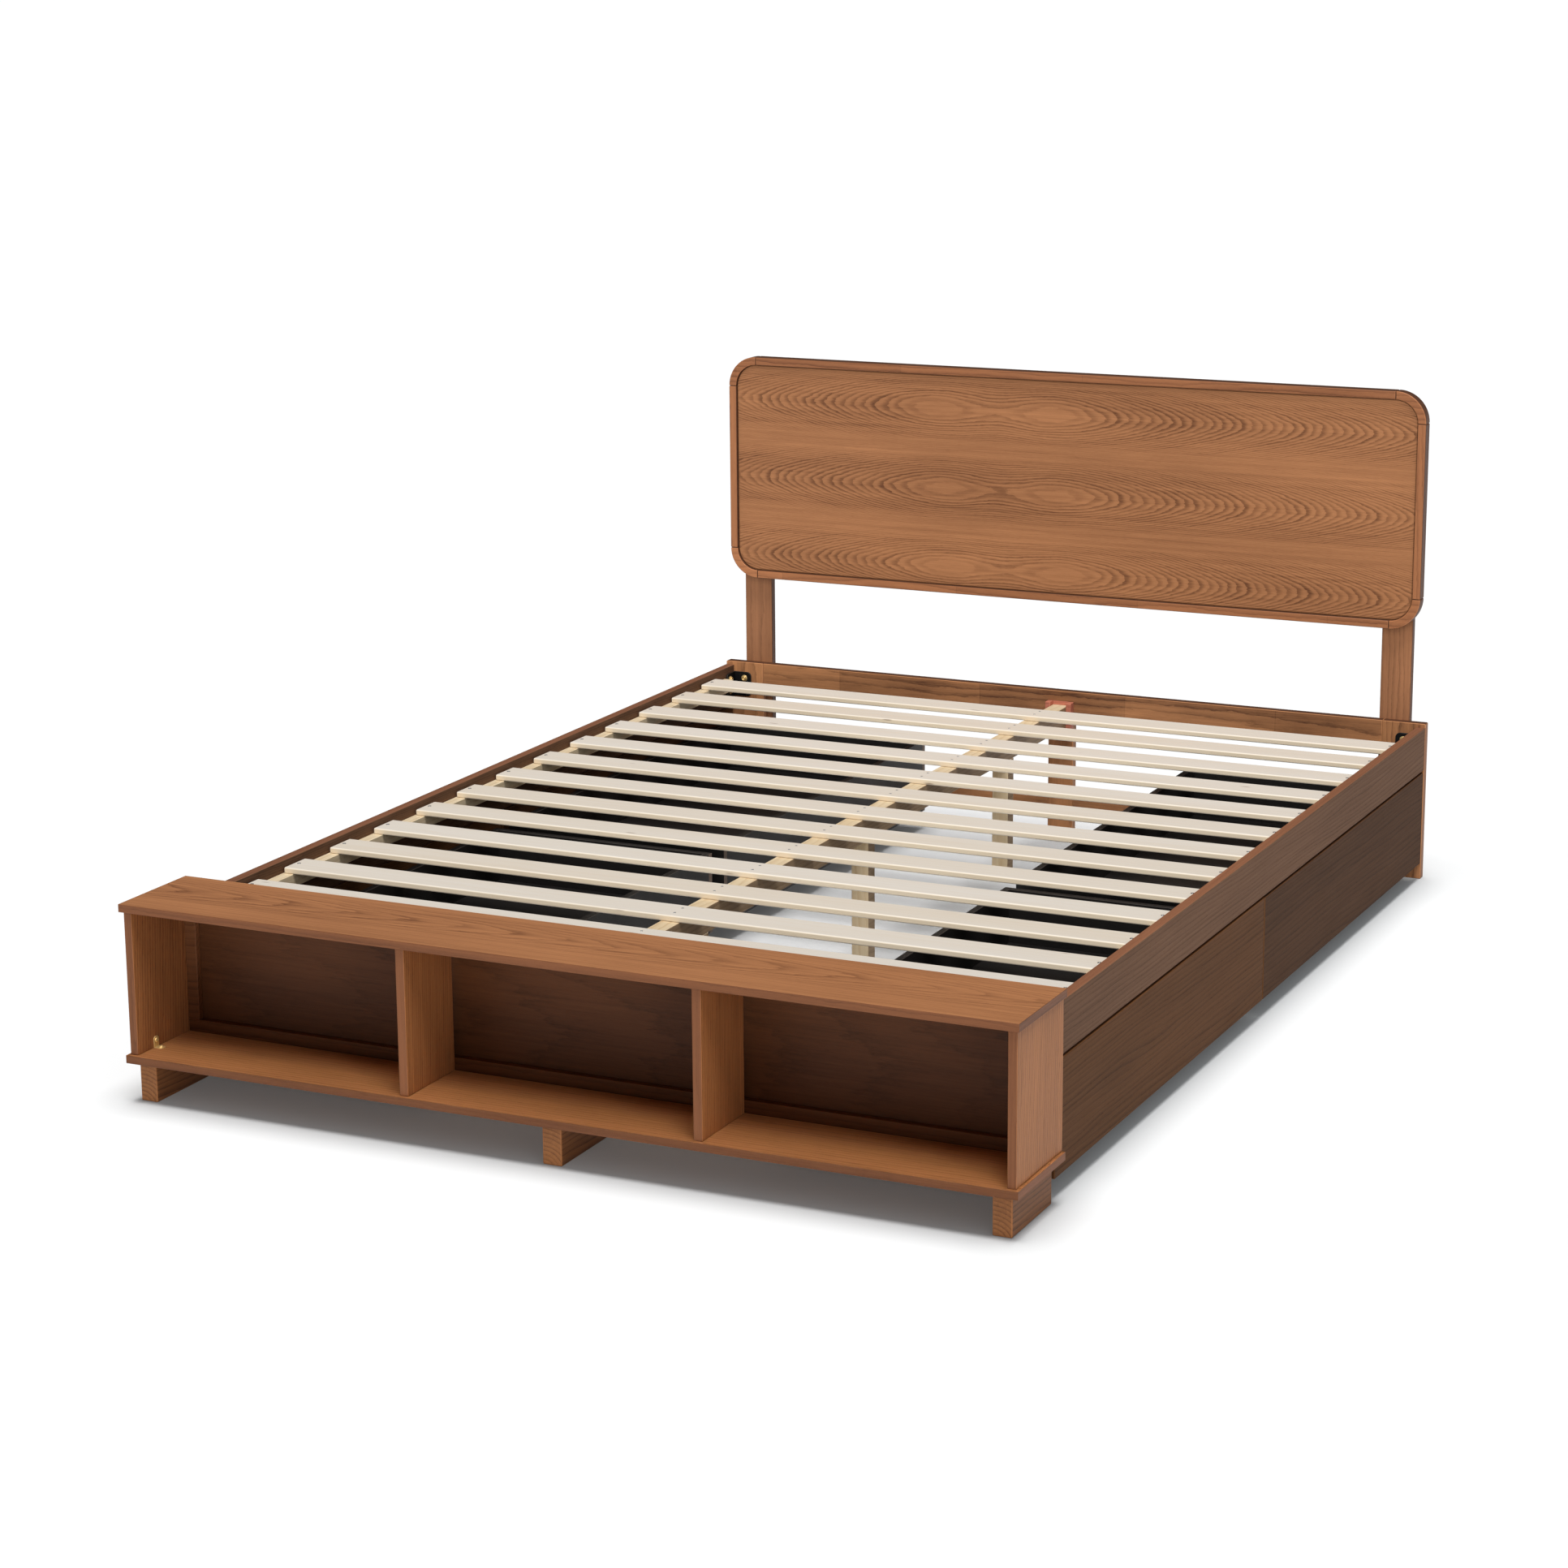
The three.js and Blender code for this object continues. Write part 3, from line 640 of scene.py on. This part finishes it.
def build_head_end():
    # The rail's top and bottom faces take the darker, painted-shade copy of the head wood.
    board("head_rail", "head head frame_rim")
    for side, sign in SIDES.items():
        low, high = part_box(f"head_leg_{side}")
        corner = 3 * MM
        radii = (0, 0, corner, 0) if sign > 0 else (0, 0, 0, corner)
        outline = rounded_outline((low.x, low.z), (high.x, high.z), radii)
        bm = new_mesh()
        add_plate(bm, outline, "y", low.y, high.y, 1.5 * MM, 3)
        node = f"head_leg_{side}"
        piece(f"{node}_fine", bm, "post head_z frame_rim", FRAME_BODY, node, facing)
        board(f"headboard_post_{side}", "frame_rim post frame_rim", 2 * MM)

        low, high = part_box(f"headboard_post_{side}")
        bolts = new_mesh()
        for z in POST_BOLT_HEIGHTS:
            add_bolt(bolts, "y", ((low.x + high.x) / 2, high.y, z), 1)
        piece(f"headboard_post_bolts_{side}", bolts, "black_steel", FRAME_BODY)


def build_headboard():
    low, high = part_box("headboard_panel")
    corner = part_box("headboard_corner_top_right")
    outer = corner[1].x - corner[0].x
    frame_width = corner[1].x - high.x - 0.3 * MM
    inner = outer - frame_width
    bm = new_mesh()
    groove = 2 * MM
    step = low.y + 2.5 * MM
    for inset, y0, y1 in ((groove, low.y, step), (0.0, step + 0.1 * MM, high.y)):
        corners = (low.x + inset, low.z + inset), (high.x - inset, high.z - inset)
        add_plate(bm, rounded_outline(*corners, [inner - inset] * 4, 14), "y", y0, y1, 0.7 * MM)
    node = "headboard_panel"
    piece(f"{node}_fine", bm, "panel", FRAME_BODY, node)

    # The frame's faces other than its front and back take the darker, painted-shade copy.
    for level in ("top", "bottom"):
        board(f"headboard_{level}_rail", "frame_rim edging_x frame_rim", 2 * MM)
    for side, sign in SIDES.items():
        board(f"headboard_stile_{side}", "frame_rim edging_z frame_rim", 2 * MM)
        for level, up in (("top", 1), ("bottom", -1)):
            node = f"headboard_corner_{level}_{side}"
            low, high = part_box(node)
            cx = low.x if sign > 0 else high.x
            cz = low.z if up > 0 else high.z
            turns = [math.radians(90 * i / 14) for i in range(15)]
            ring = [(cx + sign * outer * math.cos(a), cz + up * outer * math.sin(a)) for a in turns]
            turns.reverse()
            ring += [(cx + sign * inner * math.cos(a), cz + up * inner * math.sin(a)) for a in turns]
            bm = new_mesh()
            add_plate(bm, ring, "y", low.y, high.y, 2 * MM, 3)
            piece(f"{node}_fine", bm, "edging_x frame_rim", FRAME_BODY, node, rimward)


# ---------------------------------------------------------------- drawers
WALL = 13 * MM
BOX_FLOOR = (90 * MM, 96 * MM)
BOX_SKIRT = 40 * MM
CASTER = {"radius": 25 * MM, "wide": 18 * MM, "cheek": 2.5 * MM, "inset_x": 80 * MM, "inset_y": 90 * MM}


def add_caster_fork(bm, x, y):
    half = CASTER["wide"] / 2 + 1 * MM
    reach = half + CASTER["cheek"]
    top = BOX_FLOOR[0]
    axle = CASTER["radius"]
    under = top - 3 * MM
    wide = reach + 6 * MM
    add_box(bm, (x - 24 * MM, y - wide, under), (x + 24 * MM, y + wide, top), 0.8 * MM)
    for sign in (-1, 1):
        inside, outside = sorted((y + sign * half, y + sign * reach))
        radii = (7 * MM, 7 * MM, 0, 0)
        outline = rounded_outline((x - 14 * MM, axle - 8 * MM), (x + 14 * MM, under), radii)
        add_plate(bm, outline, "y", inside, outside, 0.5 * MM)
        nut = [(0, 0), (0, 4.5 * MM), (sign * 2.4 * MM, 4.2 * MM), (sign * 2.8 * MM, 0)]
        add_lathe(bm, nut, "y", (x, y + sign * reach, axle), 16)
        for dx in (-18 * MM, 18 * MM):
            add_screw_head(bm, "z", (x + dx, y + sign * (reach + 1 * MM), under), -1, 3 * MM)


def add_caster_wheel(bm, x, y):
    radius, half = CASTER["radius"], CASTER["wide"] / 2
    profile = [(-half * 0.7, 5 * MM), (-half * 0.7, radius * 0.62), (-half, radius * 0.7),
               (-half, radius * 0.9), (-half * 0.82, radius * 0.975),
               (-half * 0.45, radius), (half * 0.45, radius),
               (half * 0.82, radius * 0.975), (half, radius * 0.9), (half, radius * 0.7),
               (half * 0.7, radius * 0.62), (half * 0.7, 5 * MM), (-half * 0.7, 5 * MM)]
    add_lathe(bm, profile, "y", (x, y, radius), 36)


def build_drawer(side, sign, row):
    name = f"drawer_{side}_{row}"
    body = name
    front = f"drawer_front_{side}_{row}"
    # Rear drawer fronts take the darker, painted-shade copy of the veneer.
    face = "drawer" if row == "front" else "drawer_rear_shaded"
    board(front, f"{face} drawer_band {face}", 1.5 * MM, body)

    node = f"drawer_box_{side}_{row}"
    low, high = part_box(node)
    gap = 0.15 * MM

    def ends(face):
        return 1 if abs(face.normal.x) > 0.7 else 0

    for wall, y0, y1 in (("foot", low.y, low.y + WALL), ("head", high.y - WALL, high.y)):
        bm = new_mesh()
        add_box(bm, (low.x, y0, BOX_SKIRT), (high.x, y1, high.z), 0.8 * MM)
        piece(f"{name}_wall_{wall}", bm, "lining raw_edge", body, node, ends)
    outer_low, outer_high = (high.x - WALL, high.x) if sign > 0 else (low.x, low.x + WALL)
    inner_low, inner_high = (low.x, low.x + WALL) if sign > 0 else (high.x - WALL, high.x)
    for wall, x0, x1 in (("outer", outer_low, outer_high), ("inner", inner_low, inner_high)):
        bm = new_mesh()
        add_box(bm, (x0, low.y + WALL + gap, BOX_SKIRT), (x1, high.y - WALL - gap, high.z), 0.8 * MM)
        piece(f"{name}_wall_{wall}", bm, "lining", body, node)
    bm = new_mesh()
    inside = WALL + 0.6 * MM
    floor_low = (low.x + inside, low.y + inside, BOX_FLOOR[0])
    floor_high = (high.x - inside, high.y - inside, BOX_FLOOR[1])
    add_box(bm, floor_low, floor_high, 0.5 * MM)
    piece(f"{name}_bottom", bm, "lining", body, node)

    places = [(x, y) for x in (low.x + CASTER["inset_x"], high.x - CASTER["inset_x"])
              for y in (low.y + CASTER["inset_y"], high.y - CASTER["inset_y"])]
    for i, (x, y) in enumerate(places, 1):
        fork = new_mesh()
        add_caster_fork(fork, x, y)
        piece(f"{name}_caster_{i}_fork", fork, "steel", body, node)
        wheel = new_mesh()
        add_caster_wheel(wheel, x, y)
        piece(f"{name}_caster_{i}_wheel", wheel, "rubber", body, node)


# ---------------------------------------------------------------- hardware
def build_corner_brackets():
    thick, leg, corner = 3 * MM, 42 * MM, 10 * MM
    for side, sign in SIDES.items():
        node = f"corner_bracket_{side}"
        low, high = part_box(node)
        y_back = high.y
        x_back = high.x if sign > 0 else low.x
        on_end = (corner, 0, 0, corner) if sign > 0 else (0, corner, corner, 0)
        bm = new_mesh()
        x0, x1 = sorted((x_back, x_back - sign * thick))
        outline = rounded_outline((y_back - leg, low.z), (y_back, high.z), (corner, 0, 0, corner))
        add_plate(bm, outline, "x", x0, x1, 0.6 * MM)
        x0, x1 = sorted((x_back, x_back - sign * leg))
        outline = rounded_outline((x0, low.z), (x1, high.z), on_end)
        add_plate(bm, outline, "y", y_back - thick, y_back, 0.6 * MM)
        piece(f"{node}_fine", bm, "black_steel", FRAME_BODY, node)
        bolts = new_mesh()
        for z in (low.z + 14 * MM, high.z - 14 * MM):
            add_bolt(bolts, "x", (x_back - sign * thick, y_back - 26 * MM, z), -sign, 5 * MM)
            add_bolt(bolts, "y", (x_back - sign * 26 * MM, y_back - thick, z), -1, 5 * MM)
        piece(f"{node}_bolts", bolts, "brass", FRAME_BODY, node)


def build_angle_fittings():
    """A small brass angle with two screws, in the lower front corner of each bookcase side."""
    leg, half, thick = 17 * MM, 7 * MM, 1.6 * MM
    for side, sign in SIDES.items():
        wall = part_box(f"shelf_side_{side}")
        inside = wall[1].x if sign < 0 else wall[0].x
        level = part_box("shelf_bottom_board")[1].z + 0.1 * MM
        middle = wall[0].y + 52 * MM
        toward = -sign
        bm = new_mesh()
        x0, x1 = sorted((inside + toward * 0.1 * MM, inside + toward * (thick + 0.1 * MM)))
        far = 6 * MM
        top = level + leg + 3 * MM
        upright = rounded_outline((middle - half, level), (middle + half, top), (0, 0, far, far))
        add_plate(bm, upright, "x", x0, x1, 0.4 * MM)
        x0, x1 = sorted((inside + toward * 0.1 * MM, inside + toward * leg))
        radii = (0, far, far, 0) if toward > 0 else (far, 0, 0, far)
        flat = rounded_outline((x0, middle - half), (x1, middle + half), radii)
        add_plate(bm, flat, "z", level, level + thick, 0.4 * MM)
        wall_face = inside + toward * (thick + 0.1 * MM)
        add_screw_head(bm, "x", (wall_face, middle, level + 13 * MM), toward, 4.2 * MM, 2 * MM)
        add_screw_head(bm, "z", (inside + toward * 11 * MM, middle, level + thick), 1, 4.2 * MM, 2 * MM)
        piece(f"shelf_angle_fitting_{side}", bm, "brass", FRAME_BODY)


build_bookcase()
build_angle_fittings()
build_slatted_base()
build_head_end()
build_headboard()
for side_name, side_sign in SIDES.items():
    for row_name in ROWS:
        build_drawer(side_name, side_sign, row_name)
build_corner_brackets()


# ---------------------------------------------------------------- floor, light and camera
BACK_NODES = ("shelf_back_panel", "shelf_back_frame")


def build_floor():
    bm = bmesh.new()
    bmesh.ops.create_grid(bm, x_segments=1, y_segments=1, size=120)
    mesh = bpy.data.meshes.new("floor")
    bm.to_mesh(mesh)
    bm.free()
    material = bpy.data.materials.new("pale_floor")
    material.use_nodes = True
    shader = material.node_tree.nodes["Principled BSDF"]
    shader.inputs["Base Color"].default_value = (0.4, 0.4, 0.4, 1)
    shader.inputs["Emission Color"].default_value = (1, 1, 1, 1)
    shader.inputs["Emission Strength"].default_value = 0.06
    shader.inputs["Roughness"].default_value = 0.9
    shader.inputs["Specular IOR Level"].default_value = 0.1
    mesh.materials.append(material)
    floor = bpy.data.objects.new("floor", mesh)
    bpy.context.scene.collection.objects.link(floor)
    return floor


def away_towards(azimuth, elevation):
    """The direction from the bed, turned by azimuth from straight out at the foot, and raised."""
    level = math.cos(elevation)
    return Vector((math.sin(azimuth) * level, -math.cos(azimuth) * level, math.sin(elevation)))


def link_lights(group_name, members, state):
    """A collection for light linking, whose members a light keeps to or leaves out."""
    group = bpy.data.collections.new(group_name)
    for member in members:
        group.objects.link(member)
    for member in group.collection_objects:
        member.light_linking.link_state = state
    return group


def add_sun(name, strength, azimuth, elevation, angle, only=(), never=(), through=(), colour=(1, 1, 1)):
    """A broad soft sun. It lights only, or never, the objects listed, and passes through others."""
    light = bpy.data.lights.new(name, "SUN")
    light.energy = strength
    light.color = colour
    light.angle = math.radians(angle)
    holder = bpy.data.objects.new(name, light)
    back = away_towards(math.radians(azimuth), math.radians(elevation))
    holder.location = back * 6
    holder.rotation_euler = (-back).to_track_quat("-Z", "Y").to_euler()
    bpy.context.scene.collection.objects.link(holder)
    if only or never:
        state = "INCLUDE" if only else "EXCLUDE"
        holder.light_linking.receiver_collection = link_lights(f"{name}_receivers", only or never, state)
    if through:
        holder.light_linking.blocker_collection = link_lights(f"{name}_blockers", through, "EXCLUDE")


def build_lights(floor):
    """A white room: its walls look pure white, and light the bed more softly than they look."""
    world = bpy.data.worlds.new("studio")
    world.use_nodes = True
    nodes, links = world.node_tree.nodes, world.node_tree.links
    background = nodes["Background"]
    background.inputs["Color"].default_value = (1, 1, 1, 1)
    seen = nodes.new("ShaderNodeLightPath").outputs["Is Camera Ray"]
    level = nodes.new("ShaderNodeMapRange")
    level.inputs["To Min"].default_value = 0.09
    level.inputs["To Max"].default_value = 1.0
    links.new(seen, level.inputs["Value"])
    links.new(level.outputs[0], background.inputs["Strength"])
    bpy.context.scene.world = world
    back = [bpy.data.objects[f"{node}_fine"] for node in BACK_NODES]
    bottom_board = bpy.data.objects["shelf_bottom_board_fine"]
    add_sun("key", 2.5, 38, 68, 26, never=[floor])
    add_sun("fill", 1.5, 12, 22, 40, never=[floor, *back, bottom_board])
    add_sun("off_the_floor", 1.0, 46, -31, 24, only=back, through=[floor])
    add_sun("deep_fill", 0.8, 58, 16, 24, only=[bottom_board])
    add_sun("floor_light", 6.7, 0, 90, 28, only=[floor])
    add_sun("floor_fill", 1.6, 55, 32, 100, only=[floor], colour=(0.86, 0.95, 1.0))


def build_camera():
    """The eye of the reference view, from the foot end's right."""
    azimuth, elevation, roll = (math.radians(value) for value in (25.5, 13.89, -0.455))
    back = away_towards(azimuth, elevation)
    camera = bpy.data.cameras.new("camera")
    camera.sensor_width = 36
    camera.lens = 83.95
    camera.clip_end = 300
    holder = bpy.data.objects.new("camera", camera)
    foot_edge = CAD_BOX[0].y
    holder.location = (2.731, foot_edge - 4.8333, 2.0016)
    rotation = (-back).to_track_quat("-Z", "Y").to_matrix()
    holder.rotation_euler = (rotation @ Matrix.Rotation(roll, 3, "Z")).to_euler()
    bpy.context.scene.collection.objects.link(holder)
    bpy.context.scene.camera = holder


build_lights(build_floor())
build_camera()
bpy.context.scene.view_settings.view_transform = "Standard"
